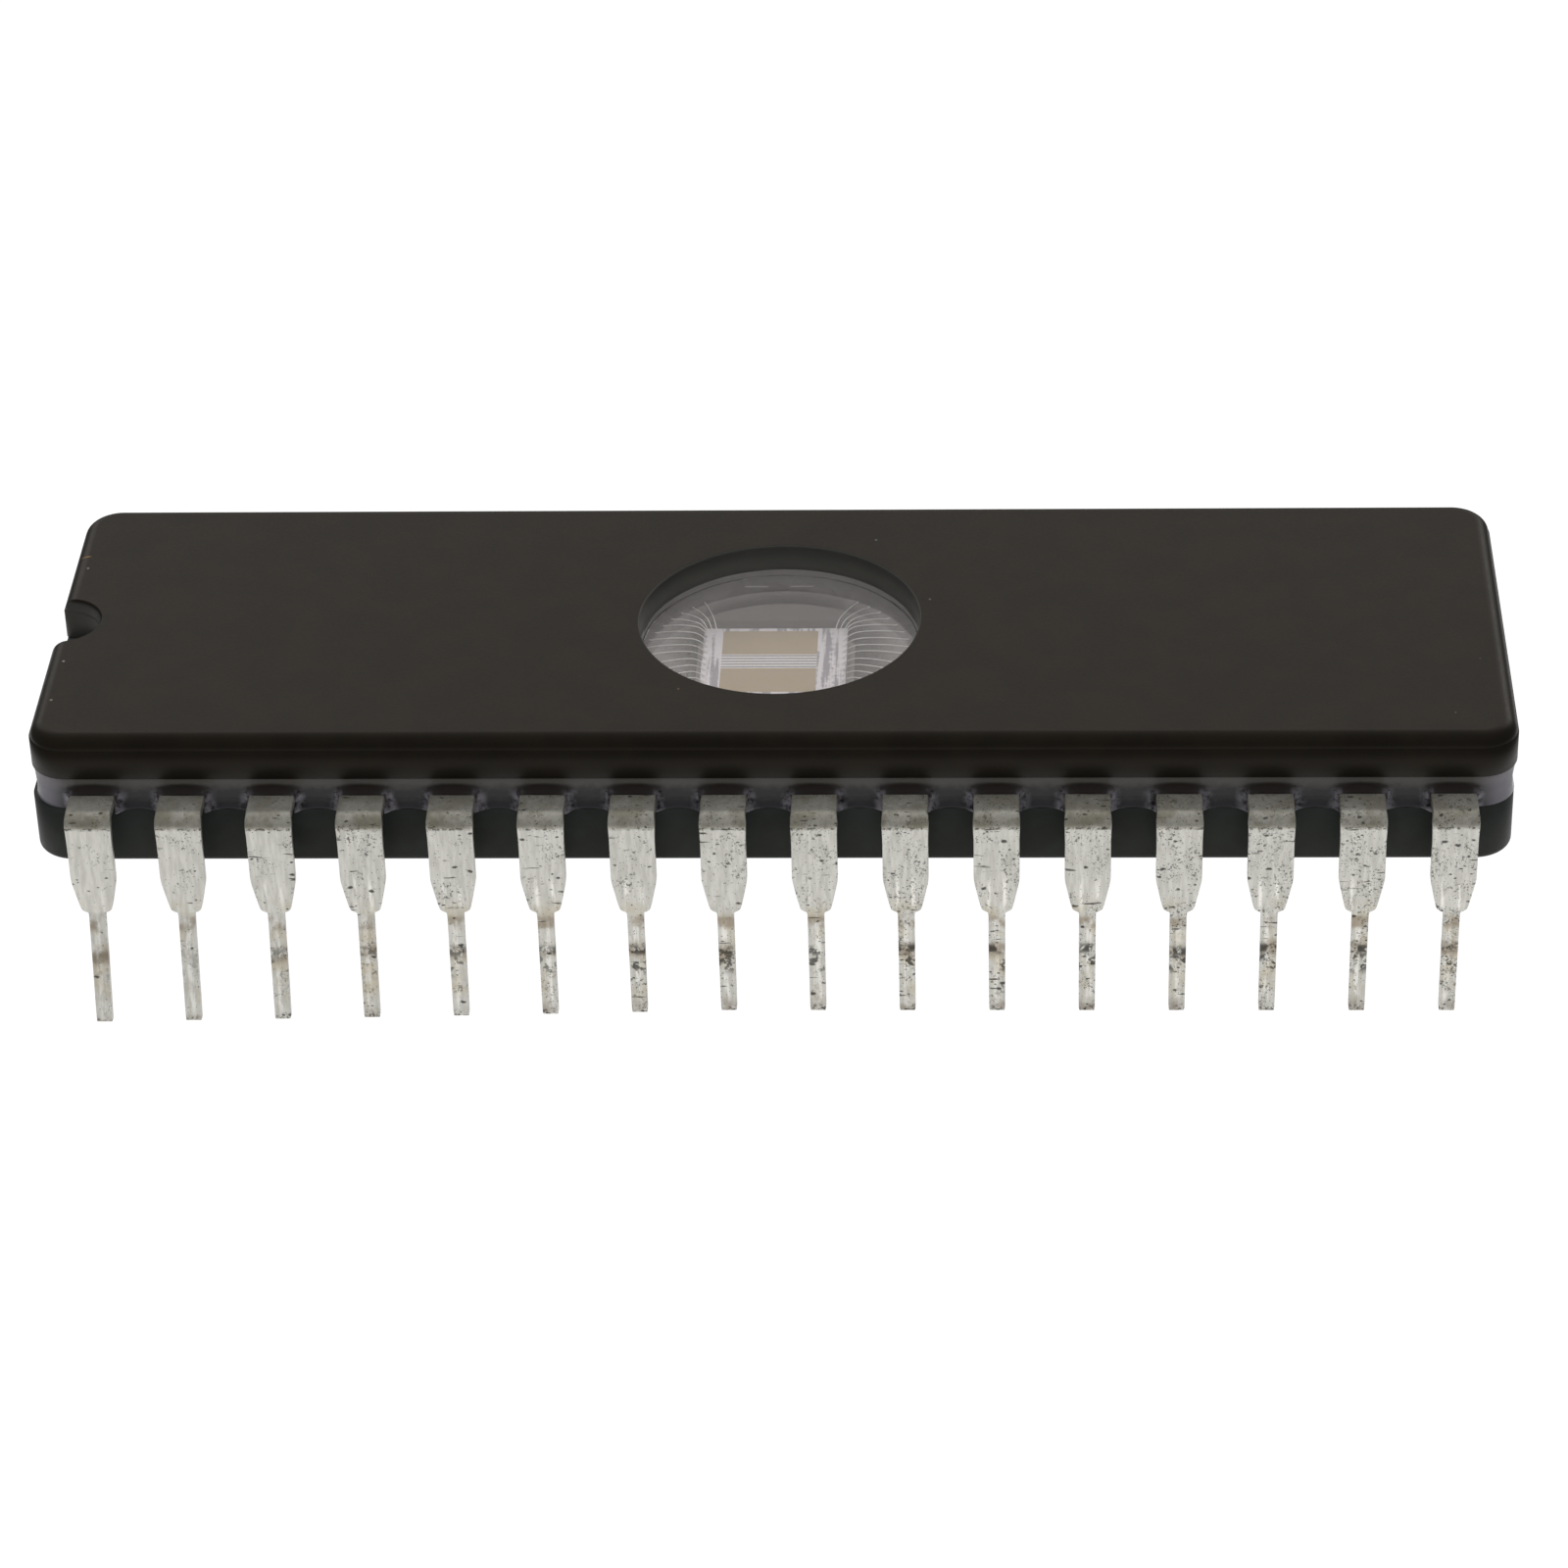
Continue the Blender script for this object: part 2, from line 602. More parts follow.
def leadMaterial():
    made, tree, shader, place, axes = startMaterial("tinnedLead")
    look, wear = leadLook, leadWear
    up = axes[2]
    cell = calc(tree, "DIVIDE", axes[0], leads["pitch"])
    local = product(tree, calc(tree, "SUBTRACT", calc(tree, "FRACT", cell), 0.5), leads["pitch"])
    # three chances for each lead
    index = scaled(tree, calc(tree, "SIGN", axes[1]), wear["rowStep"], calc(tree, "FLOOR", cell))
    chance = addNode(tree, "ShaderNodeTexWhiteNoise", {"W": index}, noise_dimensions="1D")
    lot = addNode(tree, "ShaderNodeSeparateColor", {"Color": chance.outputs["Color"]}).outputs
    cloud = noiseAt(tree, place, 1.3, 4.0, 0.6)
    fine = noiseAt(tree, place, 9.0, 3.0, 0.65)
    drawn = noiseAt(tree, vector(tree, "MULTIPLY", place, wear["drawnOut"]), 9.0, 3.0, 0.6)
    colour = mixColour(tree, smooth(tree, drawn, *wear["drawn"]), solid(look["dull"]), solid(look["tin"]))
    # bright lines rubbed by a socket, from the taper down over the pin
    off = scaled(tree, calc(tree, "SUBTRACT", lot[0], 0.5), wear["sway"], local)
    off = calc(tree, "ABSOLUTE", off)
    wipe = within(tree, wear["wipe"], off, lot[1], up)
    pin = within(tree, wear["pin"], up, off)
    rubbed = product(tree, largest(tree, wipe, pin), smooth(tree, drawn, *wear["rubbed"]))
    colour = layer(tree, colour, rubbed, look["bright"])
    colour = layer(tree, colour, within(tree, wear["warm"], up, cloud), look["warm"])
    # stains about the bend
    uneven = scaled(tree, smooth(tree, cloud, *wear["stainCloud"]), *wear["stainShares"])
    colour = layer(tree, colour, product(tree, between(tree, up, *wear["stain"]), uneven), look["stain"])
    # pits and scratches, more of them towards the far end
    worn = scaled(tree, axes[0], *wear["worn"])
    shaken = addNode(tree, "ShaderNodeTexNoise", {"Vector": place, "Scale": 9.0, "Detail": 2.0})
    shaken = vector(tree, "MULTIPLY", shaken.outputs["Color"], (wear["shake"],) * 3)
    lying = vector(tree, "MULTIPLY_ADD", place, wear["pitSquash"], shaken)
    pits = [specks(tree, lying, scale, size, product(tree, worn, share))
            for scale, size, share in wear["pits"]]
    dust = specks(tree, place, *wear["dust"], worn)
    flat = vector(tree, "MULTIPLY", place, wear["scratchOut"])
    scratch = within(tree, wear["scratch"], noiseAt(tree, flat, 5.5), noiseAt(tree, place, 1.6))
    clusters = scaled(tree, axes[0], wear["gritSlope"], noiseAt(tree, place, 1.5))
    grit = within(tree, wear["grit"], noiseAt(tree, place, 13.0, 3.0, 0.7), clusters)
    seam = within(tree, wear["seam"], up, fine)
    # the ring of dirt that a socket leaves round the pins
    ringAt = scaled(tree, lot[1], *wear["ringAt"])
    ringOff = calc(tree, "ABSOLUTE", calc(tree, "SUBTRACT", up, ringAt))
    blots = noiseAt(tree, place, 4.2, 3.0, 0.6)
    ring = largest(tree, within(tree, wear["ring"], ringOff, blots),
                   within(tree, wear["drips"], up, blots))
    ring = product(tree, ring, smooth(tree, scaled(tree, lot[2], wear["ringChance"], axes[0]),
                                      *wear["ringAlong"]))
    tip = within(tree, wear["tip"], up, fine)
    dirt = largest(tree, *pits, ring, dust, scratch, tip, grit, seam)
    rust = largest(tree, smooth(tree, ringOff, *wear["rustRing"]), smooth(tree, up, *wear["rustTip"]),
                   between(tree, up, *wear["rustBand"]))
    colour = layer(tree, colour, product(tree, rust, within(tree, wear["rust"], cloud)), look["rust"])
    colour = layer(tree, colour, product(tree, dirt, wear["dirtShare"]), look["grime"])
    awayX, awayY = (calc(tree, "ABSOLUTE", axis) for axis in (axes[0], axes[1]))
    sealed = smooth(tree, awayY, *wear["sealed"])
    colour = layer(tree, colour, sealed, look["sealed"])
    colour = layer(tree, colour, within(tree, wear["plated"], awayY, awayX), look["plated"])
    metallic = scaled(tree, rubbed, 1.0 - look["metallic"], look["metallic"])
    rough = scaled(tree, fine, look["roughFine"], look["roughness"])
    rough = scaled(tree, sealed, look["roughSealed"], rough)
    setInputs(tree, shader, {
        "Base Color": colour, "Roughness": scaled(tree, dirt, look["roughDirt"], rough),
        "Metallic": product(tree, calc(tree, "SUBTRACT", 1.0, sealed), metallic)})
    addBump(tree, shader, scaled(tree, dirt, -wear["dirtDepth"], fine), *look["bump"])
    return made


tinnedLead = leadMaterial()


def plainMaterial(name, tone, metallic, roughness):
    made, tree, shader, place, _ = startMaterial(name)
    fine = noiseAt(tree, place, 12.0, 3.0)
    setInputs(tree, shader, {
        "Base Color": mixColour(tree, fine, solid(tone, 0.8), solid(tone)), "Metallic": metallic,
        "Roughness": scaled(tree, fine, 0.15, roughness)})
    return made


attachLook = plainMaterial("attachLayer", (0.30, 0.28, 0.26), 0.0, 0.45)
wireLook = plainMaterial("bondWire", (0.97, 0.96, 0.94), 0.3, 0.3)
fusedRim = plainMaterial("fusedRim", (0.42, 0.40, 0.39), 0.0, 0.5)
padLook = plainMaterial("padMetal", (0.88, 0.87, 0.84), 0.8, 0.35)


def windowMaterial():
    made, tree, shader, _, _ = startMaterial("windowClear")
    setInputs(tree, shader, {
        "Base Color": solid(window["tone"]), "Transmission Weight": 1.0, "Roughness": 0.0,
        "IOR": window["index"], "Specular IOR Level": window["gleam"]})
    return made


windowClear = windowMaterial()

dieLook = dict(
    array=(0.40, 0.315, 0.195),
    arrayWarm=(0.47, 0.365, 0.225),
    periphery=(0.86, 0.82, 0.86),
    line=(0.93, 0.92, 0.89),
    gap=(0.34, 0.32, 0.37),
    arrayX=(-1.53, 1.24, 0.012),
    arrayY=(0.375, 1.65, 0.012),
    trackOut=(1.0, 0.06, 0.0),
    trackGrain=0.25,
    tracks=(0.56, 0.66),
    busY=(0.385, 0.365),
    busPitch=0.075,
    busLine=(0.03, 0.05),
    metallic=0.55,
    roughness=0.3,
)


def dieMaterial():
    made, tree, shader, place, axes = startMaterial("dieSurface")
    look = dieLook
    across = calc(tree, "SUBTRACT", axes[0], die["centreX"])
    up = calc(tree, "ABSOLUTE", axes[1])
    array = within(tree, (look["arrayX"], look["arrayY"]), across, up)
    tan = mixColour(tree, noiseAt(tree, place, 1.2), solid(look["array"]), solid(look["arrayWarm"]))
    drawn = noiseAt(tree, vector(tree, "MULTIPLY", place, look["trackOut"]), 4.5, 2.0, 0.6)
    tracks = scaled(tree, noiseAt(tree, place, 7.0, 3.0, 0.7), look["trackGrain"], drawn)
    outer = mixColour(tree, smooth(tree, tracks, *look["tracks"]),
                      solid(look["gap"]), solid(look["periphery"]))
    # the bright lines between the two halves of the array
    rows = smooth(tree, calc(tree, "PINGPONG", axes[1], look["busPitch"]), *look["busLine"])
    bus = mixColour(tree, rows, solid(look["gap"]), solid(look["line"]))
    middle = within(tree, (look["arrayX"], look["busY"]), across, up)
    setInputs(tree, shader, {
        "Base Color": mixColour(tree, middle, mixColour(tree, array, outer, tan), bus),
        "Metallic": look["metallic"], "Roughness": look["roughness"]})
    return made


dieSurface = dieMaterial()

dress("seal_glass", sealGlass)
dress("die_attach", attachLook)
dress("die", dieSurface)
print("stage: materials")

# pressed ceramic: cap and base

slabs = dict(
    cornerSteps=14,
    roundSteps=10,
    notchSteps=22,
    mouthRound=0.16,
    boreSteps=96,
)


def arcPoints(centre, radius, start, end, steps):
    points = []
    for step in range(steps + 1):
        angle = math.radians(start + (end - start) * step / steps)
        points.append((centre[0] + radius * math.cos(angle), centre[1] + radius * math.sin(angle)))
    return points


def circle(radius):
    return arcPoints((window["centreX"], 0), radius, 0, 360, slabs["boreSteps"])[:-1]


# the slab's outline in plan, moved in by that much, with the same number of points each time
def slabOutline(inset, notched):
    long = body["halfLength"] - body["cornerRadius"]
    wide = body["halfWidth"] - body["cornerRadius"]
    radius = body["cornerRadius"] - inset
    steps = slabs["cornerSteps"]
    points = arcPoints((long, -wide), radius, -90, 0, steps)
    points += arcPoints((long, wide), radius, 0, 90, steps)
    points += arcPoints((-long, wide), radius, 90, 180, steps)
    if notched:
        points += notchPoints(inset)
    points += arcPoints((-long, -wide), radius, 180, 270, steps)
    return points


# from the upper mouth of the end notch to the lower one, with rounded mouth corners
def notchPoints(inset):
    small = slabs["mouthRound"] - inset * 0.2
    reach = body["notchRadius"] + inset * 0.25
    endX = -(body["halfLength"] - inset)
    smallX = endX + small
    smallY = math.sqrt((reach + small) ** 2 - (smallX - body["notchCentre"]) ** 2)
    turn = math.degrees(math.atan2(smallY, smallX - body["notchCentre"]))
    upper = arcPoints((smallX, smallY), small, 180, 180 + turn, 5)
    inner = arcPoints((body["notchCentre"], 0), reach, turn, -turn, slabs["notchSteps"])
    lower = arcPoints((smallX, -smallY), small, 180 - turn, 180, 5)
    return upper + inner[1:-1] + lower


# inset and height from the sealed edge to the flat face, past the ledge and round the edge
def sideProfile(face, sealed, edge, ledge):
    away = 1 if face > sealed else -1
    turnZ = face - away * edge
    stations = [(0.02, sealed), (0.0, sealed + away * 0.02), (0.0, turnZ - away * 0.012)]
    if ledge:
        stations += [(0.012, turnZ), (ledge, turnZ)]
    for step in range(1, slabs["roundSteps"] + 1):
        angle = math.pi / 2 * step / slabs["roundSteps"]
        stations.append((ledge + edge * (1 - math.cos(angle)), turnZ + away * edge * math.sin(angle)))
    return stations


def addLoop(bm, points, height):
    return [bm.verts.new((point[0], point[1], height)) for point in points]


def stitch(bm, first, second, rounded):
    count = len(first)
    for place in range(count):
        after = (place + 1) % count
        face = bm.faces.new((first[place], first[after], second[after], second[place]))
        face.smooth = rounded


def loft(bm, loops):
    for first, second in zip(loops, loops[1:]):
        stitch(bm, first, second, True)


# fills a flat face between loops
def capFace(bm, *loops):
    edges = []
    for loop in loops:
        for place, vert in enumerate(loop):
            edges.append(bm.edges.get((vert, loop[(place + 1) % len(loop)])))
    made = bmesh.ops.triangle_fill(bm, use_beauty=True, use_dissolve=False, edges=edges)
    for part in made["geom"]:
        if isinstance(part, bmesh.types.BMFace):
            part.smooth = False


# hole holds loops, each (points, height), from the sealed face to the open one
def makeSlab(name, node, material, profile, shift, hole):
    bm = bmesh.new()
    notched = hole["through"]
    rings = []
    for inset, height in profile:
        points = [(point[0] + shift, point[1]) for point in slabOutline(inset, notched)]
        rings.append(addLoop(bm, points, height))
    loft(bm, rings)
    holeRings = [addLoop(bm, points, height) for points, height in hole["rings"]]
    loft(bm, holeRings)
    capFace(bm, rings[0], holeRings[0])
    if notched:
        capFace(bm, rings[-1], holeRings[-1])
    else:
        capFace(bm, holeRings[-1])
        capFace(bm, rings[-1])
    newPiece(name, bm, material, node)


def boreRings():
    soft = window["rimRound"]
    rings = [(circle(window["radius"]), body["capBottom"])]
    for step in range(5):
        angle = math.pi / 2 * step / 4
        radius = window["radius"] + soft * (1 - math.cos(angle))
        height = body["capTop"] - soft + soft * math.sin(angle)
        rings.append((circle(radius), height))
    return rings


def cavityRings():
    long = die["cavityLength"] / 2 - die["cavityRadius"]
    wide = die["cavityWidth"] / 2 - die["cavityRadius"]
    rings = []
    for radius, height in ((0.4, body["baseTop"]), (0.4, 5.97), (0.37, 5.94),
                           (0.33, die["cavityBottom"])):
        points = []
        for turn, sideX, sideY in ((-90, 1, -1), (0, 1, 1), (90, -1, 1), (180, -1, -1)):
            corner = (die["centreX"] + sideX * long, sideY * wide)
            points += arcPoints(corner, radius, turn, turn + 90, 6)
        rings.append((points, height))
    return rings


capProfile = sideProfile(body["capTop"], body["capBottom"], body["edgeRadius"], body["edgeStep"])
baseProfile = sideProfile(body["baseBottom"], body["baseTop"], body["baseEdge"], 0.0)
makeSlab("capSlab", "ceramic_cap", capCeramic, capProfile, 0.0,
         {"rings": boreRings(), "through": True})
makeSlab("baseSlab", "ceramic_base", baseCeramic, baseProfile, -body["baseShift"],
         {"rings": cavityRings(), "through": False})
print("stage: ceramic")


# helpers for geometry node trees

def startTree(name, *labels):
    tree = bpy.data.node_groups.new(name, "GeometryNodeTree")
    sockets = tree.interface
    sockets.new_socket("Geometry", in_out="INPUT", socket_type="NodeSocketGeometry")
    for label in labels:
        sockets.new_socket(label, in_out="INPUT", socket_type="NodeSocketFloat")
    sockets.new_socket("Material", in_out="INPUT", socket_type="NodeSocketMaterial")
    sockets.new_socket("Geometry", in_out="OUTPUT", socket_type="NodeSocketGeometry")
    return tree, addNode(tree, "NodeGroupInput").outputs


def endTree(tree, geometry, material):
    real = addNode(tree, "GeometryNodeRealizeInstances", {"Geometry": geometry})
    painted = addNode(tree, "GeometryNodeSetMaterial",
                      {"Geometry": real, "Material": material})
    end = addNode(tree, "NodeGroupOutput")
    tree.links.new(painted.outputs[0], end.inputs[0])


# runs a tree on a mesh and keeps the plain mesh that comes out, in metres
def growPiece(name, mesh, tree, values):
    obj = bpy.data.objects.new(name, mesh)
    scene.collection.objects.link(obj)
    modifier = obj.modifiers.new("grow", "NODES")
    modifier.node_group = tree
    for item in tree.interface.items_tree:
        if item.item_type == "SOCKET" and item.in_out == "INPUT" and item.name in values:
            modifier[item.identifier] = values[item.name]
    bpy.context.view_layer.update()
    grown = obj.evaluated_get(bpy.context.evaluated_depsgraph_get())
    plain = bpy.data.meshes.new_from_object(grown)
    obj.modifiers.remove(modifier)
    plain.name = name
    obj.data = plain
    plain.transform(Matrix.Scale(mm, 4))
    bpy.data.meshes.remove(mesh)
    return obj


# leads: one strip each, bent down and cut to its taper

leadShape = dict(
    edgeRound=0.05,
    wobble=0.008,
    bendBulge=0.018,
    bendSteps=12,
    bulgeStart=0.6,
    strapHalf=0.642,
    strapY=(5.9, 6.35, 6.8, 7.1),
    sharpFrom=50,
)

# the part of each lead inside the glass
finger = dict(
    rootHalf=0.655,
    underlap=0.1,
    neckHalf=0.21,
    tipHalf=0.11,
    sharedTipHalf=0.31,
    tipBack=0.18,
    stubX=0.65,
    stubY=4.1,
    stubHalf=0.35,
    stubInset=0.005,
)

# height over the tips and half the width there, from the taper to the tip
leadWidths = [
    (5.8, 0.642), (5.4, 0.64), (4.85, 0.642), (4.55, 0.642), (4.43, 0.634), (4.3, 0.613), (4.07, 0.565),
    (3.9, 0.53), (3.74, 0.495), (3.58, 0.458), (3.49, 0.43), (3.45, 0.4), (3.42, 0.35), (3.39, 0.285),
    (3.36, 0.252), (3.29, 0.238), (3.15, 0.234), (2.9, 0.234), (2.5, 0.232), (2.2, 0.234),
    (2.05, 0.232), (1.7, 0.232), (1.2, 0.23), (0.7, 0.23), (0.3, 0.228), (0.08, 0.226), (0.0, 0.216),
]


def leadTree():
    tree, given = startTree("leadStrip", "Thickness", "Edge Round", "Wobble", "Seed")
    path = addNode(tree, "GeometryNodeMeshToCurve", {"Mesh": given["Geometry"]})
    turned = addNode(tree, "GeometryNodeSetCurveNormal",
                     {"Curve": path, "Normal": (1.0, 0.0, 0.0)}, mode="FREE")
    outline = addNode(tree, "GeometryNodeCurvePrimitiveQuadrilateral",
                      {"Width": 2.0, "Height": given["Thickness"]}, mode="RECTANGLE")
    soft = addNode(tree, "GeometryNodeFilletCurve",
                   {"Curve": outline, "Radius": given["Edge Round"]})
    soft.mode = "POLY"
    soft.inputs["Count"].default_value = 2
    strip = addNode(tree, "GeometryNodeCurveToMesh",
                    {"Curve": turned, "Profile Curve": soft, "Fill Caps": True})
    spot = addNode(tree, "GeometryNodeInputPosition")
    half = addNode(tree, "GeometryNodeInputNamedAttribute", {"Name": "halfWidth"}, data_type="FLOAT")
    axes = addNode(tree, "ShaderNodeSeparateXYZ", {0: spot})
    wide = calc(tree, "MULTIPLY", axes.outputs[0], half.outputs[0])
    rough = addNode(tree, "ShaderNodeTexNoise",
                    {"Vector": spot, "W": given["Seed"], "Scale": 1.6, "Detail": 3.0},
                    noise_dimensions="4D")
    off = vector(tree, "SUBTRACT", rough.outputs["Color"], (0.5, 0.5, 0.5))
    shift = addNode(tree, "ShaderNodeVectorMath", {0: off, "Scale": given["Wobble"]}, operation="SCALE")
    place = addNode(tree, "ShaderNodeCombineXYZ", {0: wide, 1: axes.outputs[1], 2: axes.outputs[2]})
    moved = addNode(tree, "GeometryNodeSetPosition",
                    {"Geometry": strip, "Position": place, "Offset": shift})
    endTree(tree, moved.outputs[0], given["Material"])
    return tree


# points (y, z, half width) of a front lead's middle line, from its neck to its tip
def leadPath(number):
    lean = 0.0
    if number <= leads["leaning"]:
        lean = math.radians(leads["leanMost"] * (leads["leaning"] + 1 - number) / leads["leaning"])
    points = []
    for y in (leads["neckY"], *leadShape["strapY"]):
        points.append((-y, leads["middleZ"], leadShape["strapHalf"]))
    steps = leadShape["bendSteps"]
    for step in range(steps + 1):
        angle = math.pi / 2 * step / steps
        bulge = leadShape["bendBulge"] * max(0.0, math.sin(2 * angle - leadShape["bulgeStart"]))
        y = leads["bendY"] + leads["bendRadius"] * math.sin(angle)
        z = leads["bendZ"] + leads["bendRadius"] * math.cos(angle)
        points.append((-y, z, leadShape["strapHalf"] + bulge))
    for height, half in leadWidths:
        y = -leads["rowY"]
        if height < leads["shoulderZ"]:
            drop = leads["shoulderZ"] - height
            points.append((y - drop * math.sin(lean), leads["shoulderZ"] - drop * math.cos(lean), half))
        else:
            points.append((y, height, half))
    return points


def pathMesh(name, points):
    mesh = bpy.data.meshes.new(name)
    mesh.from_pydata([(0, point[0], point[1]) for point in points],
                     [(place, place + 1) for place in range(len(points) - 1)], [])
    kept = mesh.attributes.new("halfWidth", "FLOAT", "POINT")
    kept.data.foreach_set("value", [point[2] for point in points])
    return mesh


# the part of a front lead inside the glass, in plan
def fingerOutline(x):
    hand = -1 if x < 0 else 1
    rank = leads["perRow"] // 2 - 1 - int(abs(x) / leads["pitch"])
    shared = rank == leads["perRow"] // 2 - 1
    angle = math.radians(leads["fanStart"] + leads["fanStep"] * (rank + 0.5 if shared else rank))
    tip = Vector((hand * math.cos(angle), -math.sin(angle))) * (leads["fanRadius"] - finger["tipBack"])
    root = Vector((x, -leads["fingerY"]))
    along = (tip - root).normalized()
    across = Vector((along[1], -along[0]))
    half, neck = finger["rootHalf"], finger["neckHalf"]
    tipHalf = finger["sharedTipHalf"] if shared else finger["tipHalf"]
    neckY = -leads["neckY"]
    outerY = neckY - finger["underlap"]
    outline = [Vector((x - half, outerY)), Vector((x - half, neckY)), root - across * neck,
               tip - across * tipHalf, tip + across * tipHalf, root + across * neck,
               Vector((x + half, neckY)), Vector((x + half, outerY))]
    stub = None
    if shared:
        inner = die["centreX"] + hand * finger["stubX"]
        stub = [Vector((x - neck, neckY)), Vector((x + neck, neckY)),
                Vector((inner + finger["stubHalf"], -finger["stubY"])),
                Vector((inner - finger["stubHalf"], -finger["stubY"]))]
    return outline, stub


def addPlate(bm, outline, low, high):
    floorLoop = addLoop(bm, outline, low)
    topLoop = addLoop(bm, outline, high)
    stitch(bm, floorLoop, topLoop, False)
    bm.faces.new(floorLoop)
    bm.faces.new(topLoop)


def makeLead(number, tree):
    row = leads["perRow"]
    front = number <= row
    index = number - 1 if front else 2 * row - number
    x = (index - (row - 1) / 2) * leads["pitch"]
    name = "leadStrip%02d" % number
    obj = growPiece(name, pathMesh(name + "Path", leadPath(number)), tree, {
        "Thickness": leads["thickness"], "Edge Round": leadShape["edgeRound"],
        "Wobble": leadShape["wobble"], "Seed": float(number), "Material": tinnedLead})
    bm = bmesh.new()
    bm.from_mesh(obj.data)
    bmesh.ops.scale(bm, vec=(1000, 1000, 1000), verts=bm.verts)
    bmesh.ops.translate(bm, vec=(x, 0, 0), verts=bm.verts)
    for face in bm.faces:
        face.smooth = True
    plate, stub = fingerOutline(x)
    low = leads["middleZ"] - leads["thickness"] / 2
    addPlate(bm, plate, low, low + leads["thickness"])
    if stub:
        inset = finger["stubInset"]
        addPlate(bm, stub, low + inset, low + leads["thickness"] - inset)
    if not front:
        bmesh.ops.scale(bm, vec=(1, -1, 1), verts=bm.verts)
    bmesh.ops.scale(bm, vec=(mm, mm, mm), verts=bm.verts)
    bmesh.ops.recalc_face_normals(bm, faces=bm.faces)
    bm.to_mesh(obj.data)
    bm.free()
    obj.data.set_sharp_from_angle(angle=math.radians(leadShape["sharpFrom"]))
    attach(obj, "root")
    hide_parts("lead_%02d" % number)


stripTree = leadTree()
for number in range(1, 2 * leads["perRow"] + 1):
    makeLead(number, stripTree)
print("stage: leads")


# window glass: a disc with a soft rim, fused in the bore

def makeWindow():
    bm = bmesh.new()
    radius = window["radius"] - window["clearance"]
    soft = window["rimRound"]
    rings = []
    for inset, height in ((soft, window["bottom"] + 0.001), (soft * 0.3, window["bottom"] + soft * 0.3),
                          (0.0, window["bottom"] + soft), (0.0, window["top"] - soft * 0.5),
                          (-0.004, window["top"] - soft * 0.2), (soft * 0.4, window["top"] - soft * 0.25),
                          (soft * 1.5, window["top"] - 0.004), (soft * 3, window["top"])):
        rings.append(addLoop(bm, circle(radius - inset), height))
    loft(bm, rings)
    capFace(bm, rings[0])
    capFace(bm, rings[-1])
    sides = [face for face in bm.faces if abs(face.normal.z) < 0.3
             and face.calc_center_median().z < window["top"] - soft]
    for face in sides:
        face.material_index = 1
    obj = newPiece("windowDisc", bm, windowClear, "window_glass")
    obj.data.materials.append(fusedRim)
    obj.visible_shadow = False


def hazeMaterial():
    made, tree, shader, place, _ = startMaterial("windowHaze")
    cloud = noiseAt(tree, place, 0.8, 3.0)
    away = planDistance(tree, place, window["centreX"])
    away = calc(tree, "MULTIPLY_ADD", cloud, window["hazeWaver"], away)
    rim = smooth(tree, away, *window["hazeFades"])
    colour = mixColour(tree, rim, solid(window["hazeNear"]), solid(window["hazeFar"]))
    setInputs(tree, shader, {
        "Base Color": colour, "Alpha": window["hazeShare"], "Roughness": 0.9, "Specular IOR Level": 0.0})
    return made


# a film of deposit on the underside of the window, inside the cavity
def makeHaze():
    bm = bmesh.new()
    rings = [addLoop(bm, circle(radius), height) for radius, height in window["hazeRings"]]
    loft(bm, rings)
    capFace(bm, rings[0])
    capFace(bm, rings[-1])
    obj = newPiece("windowHaze", bm, hazeMaterial(), None)
    obj.visible_shadow = False


makeWindow()
makeHaze()
print("stage: window")


# seal glass: an apron that sags over the base between the leads, lowest beside them

apron = dict(
    steps=16,
    overlap=0.08,
    sagPower=2.6,
    sag=0.17,
    thinnest=0.006,
    thicker=0.05,
    faceY=6.41,
    baseY=6.45,
    waver=0.35,
)


# share is 0 in the middle of a gap and 1 beside a lead
def apronSection(x, share, wave):
    drop = apron["sag"] * share ** apron["sagPower"] * wave
    out = apron["baseY"] + apron["thinnest"] + apron["thicker"] * share ** 2 * wave
    edge = body["baseTop"] + 0.012 - drop
    side = apron["faceY"]
    places = ((side - 0.05, edge + 0.36), (side + 0.004, edge + 0.34),
              (side + 0.4 * (out - side), edge + 0.2), (out - 0.004, edge + 0.09),
              (out, edge + 0.05), (out - 0.012, edge + 0.015),
              (apron["baseY"] - 0.002, edge), (side - 0.05, edge))
    return [(x, -y, z) for y, z in places]


def makeApron():
    bm = bmesh.new()
    half = leads["pitch"] / 2 - finger["rootHalf"] + apron["overlap"]
    row = leads["perRow"]
    for mirrored in (1, -1):
        for gap in range(row - 1):
            centre = (gap - (row - 2) / 2) * leads["pitch"]
            loops = []
            for step in range(apron["steps"] + 1):
                across = 2 * step / apron["steps"] - 1
                x = centre + across * half
                wave = 1 + apron["waver"] * mathNoise.noise(Vector((x * 1.7, mirrored * 5.0, 0.4)))
                section = apronSection(x, min(1.0, abs(across) * 1.06), wave)
                loops.append([bm.verts.new((p[0], p[1] * mirrored, p[2])) for p in section])
            loft(bm, loops)
            bm.faces.new(loops[0])
            bm.faces.new(loops[-1])
    obj = newPiece("sealApron", bm, sealGlass, None)
    obj.data.set_sharp_from_angle(angle=math.radians(60))


makeApron()
print("stage: sagging glass")


# bond wires: loops from the die's pads to the lead fingers

wires = dict(
    radius=0.014,
    perQuarter=9,
    sidePads=5,
    padPitch=0.32,
    cornerPitch=0.13,
    padIn=0.1,
    loop=0.2,
    peak=0.28,
    steps=22,
    footLength=0.075,
    footWide=1.7,
    footFlat=0.75,
    climb=2.4,
    run=1.7,
    sway=0.02,
    seat=0.8,
)


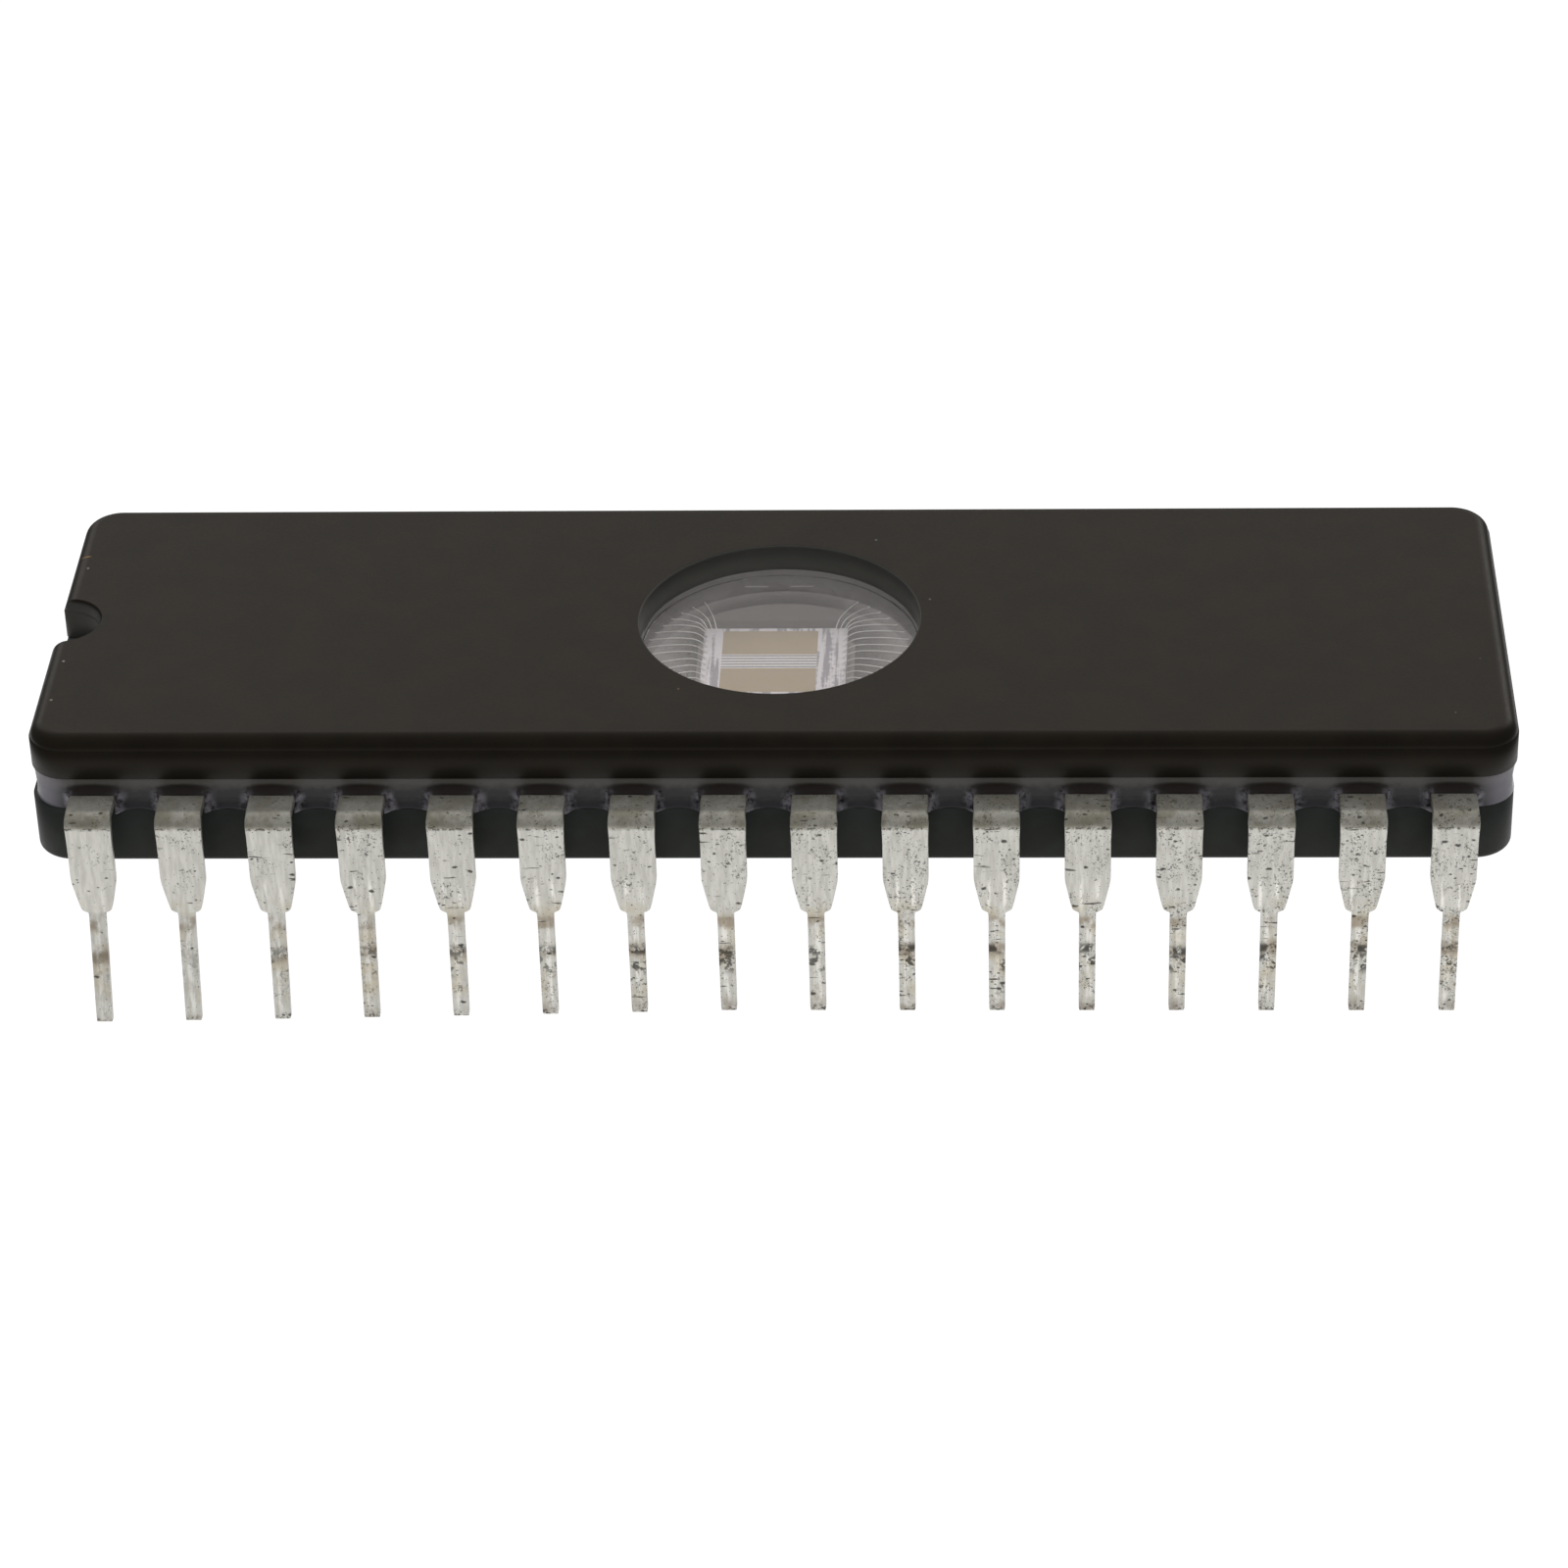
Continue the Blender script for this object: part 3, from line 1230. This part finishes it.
def padPlace(rank):
    sideX = die["length"] / 2 - wires["padIn"]
    sideY = die["width"] / 2 - wires["padIn"]
    if rank < wires["sidePads"]:
        return Vector((sideX, (rank + 0.5) * wires["padPitch"]))
    if rank == wires["sidePads"]:
        return Vector((sideX, sideY - wires["cornerPitch"]))
    return Vector((sideX - (rank - wires["sidePads"] - 1) * wires["cornerPitch"], sideY))


# a wire climbs steeply off the die and then runs down slowly to its finger
def loopHeight(share, rise):
    peak = wires["peak"]
    if share < peak:
        back = 1 - share / peak
        return (rise + wires["loop"]) * (1 - back ** wires["climb"])
    fall = (share - peak) / (1 - peak)
    return rise + wires["loop"] * (1 - fall ** wires["run"])


# each pad's quarter, its rank in the quarter and its place
def allPads():
    for handX in (-1, 1):
        for handY in (-1, 1):
            for rank in range(wires["perQuarter"]):
                pad = padPlace(rank)
                yield handX, handY, rank, Vector((handX * pad[0] + die["centreX"], handY * pad[1]))


def wireMesh():
    points, edges = [], []
    rise = leads["middleZ"] + leads["thickness"] / 2 - die["top"]
    for handX, handY, rank, start in allPads():
        angle = math.radians(leads["fanStart"] + rank * leads["fanStep"])
        end = Vector((handX * math.cos(angle), handY * math.sin(angle))) * leads["fanRadius"]
        first = len(points)
        sway = wires["sway"] * mathNoise.noise(Vector((start[0] * 3, start[1] * 3, 1.7)))
        side = (end - start).orthogonal().normalized()
        for step in range(wires["steps"] + 1):
            share = step / wires["steps"]
            spot = start.lerp(end, share) + side * sway * math.sin(math.pi * share)
            height = die["top"] + wires["radius"] * wires["seat"] + loopHeight(share, rise)
            points.append((spot[0], spot[1], height))
        edges += [(place, place + 1) for place in range(first, len(points) - 1)]
    mesh = bpy.data.meshes.new("wirePaths")
    mesh.from_pydata(points, edges, [])
    return mesh


def wireTree():
    tree, given = startTree("bondWireFan", "Radius", "Foot Length")
    path = addNode(tree, "GeometryNodeMeshToCurve", {"Mesh": given["Geometry"]})
    section = addNode(tree, "GeometryNodeCurvePrimitiveCircle",
                      {"Resolution": 8, "Radius": given["Radius"]})
    tube = addNode(tree, "GeometryNodeCurveToMesh",
                   {"Curve": path, "Profile Curve": section, "Fill Caps": True})
    shaded = addNode(tree, "GeometryNodeSetShadeSmooth", {"Geometry": tube})
    ends = addNode(tree, "GeometryNodeCurveEndpointSelection", {"Start Size": 1, "End Size": 1})
    tangent = addNode(tree, "GeometryNodeInputTangent")
    flat = vector(tree, "MULTIPLY", tangent.outputs[0], (1.0, 1.0, 0.0))
    turn = addNode(tree, "FunctionNodeAlignRotationToVector", {"Vector": flat}, axis="X")
    foot = addNode(tree, "GeometryNodeMeshUVSphere",
                   {"Segments": 10, "Rings": 6, "Radius": given["Radius"]})
    long = calc(tree, "DIVIDE", given["Foot Length"], given["Radius"])
    size = addNode(tree, "ShaderNodeCombineXYZ",
                   {0: long, 1: wires["footWide"], 2: wires["footFlat"]})
    feet = addNode(tree, "GeometryNodeInstanceOnPoints",
                   {"Points": path, "Selection": ends, "Instance": foot,
                    "Rotation": turn, "Scale": size})
    both = addNode(tree, "GeometryNodeJoinGeometry")
    tree.links.new(shaded.outputs[0], both.inputs[0])
    tree.links.new(feet.outputs[0], both.inputs[0])
    endTree(tree, both.outputs[0], given["Material"])
    return tree


def makeWires():
    obj = growPiece("bondWireFan", wireMesh(), wireTree(), {
        "Radius": wires["radius"], "Foot Length": wires["footLength"], "Material": wireLook})
    for face in obj.data.polygons:
        face.use_smooth = True
    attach(obj, "root")
    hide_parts("bond_wires_front_left", "bond_wires_front_right",
                "bond_wires_back_left", "bond_wires_back_right")


makeWires()
print("stage: bond wires")


# die: a bond pad under each wire

pads = dict(
    size=0.085,
    height=0.004,
    lift=0.0015,
)


def padTree():
    tree, given = startTree("diePads", "Pad Size", "Pad Height")
    size = addNode(tree, "ShaderNodeCombineXYZ",
                   {0: given["Pad Size"], 1: given["Pad Size"], 2: given["Pad Height"]})
    pad = addNode(tree, "GeometryNodeMeshCube", {"Size": size})
    spots = addNode(tree, "GeometryNodeMeshToPoints", {"Mesh": given["Geometry"]})
    many = addNode(tree, "GeometryNodeInstanceOnPoints",
                   {"Points": spots, "Instance": pad})
    endTree(tree, many.outputs[0], given["Material"])
    return tree


def makePads():
    points = [(spot[0], spot[1], die["top"] + pads["lift"]) for _, _, _, spot in allPads()]
    mesh = bpy.data.meshes.new("padSpots")
    mesh.from_pydata(points, [], [])
    obj = growPiece("diePads", mesh, padTree(), {
        "Pad Size": pads["size"], "Pad Height": pads["height"], "Material": padLook})
    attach(obj, "root")


makePads()
print("stage: die pads")
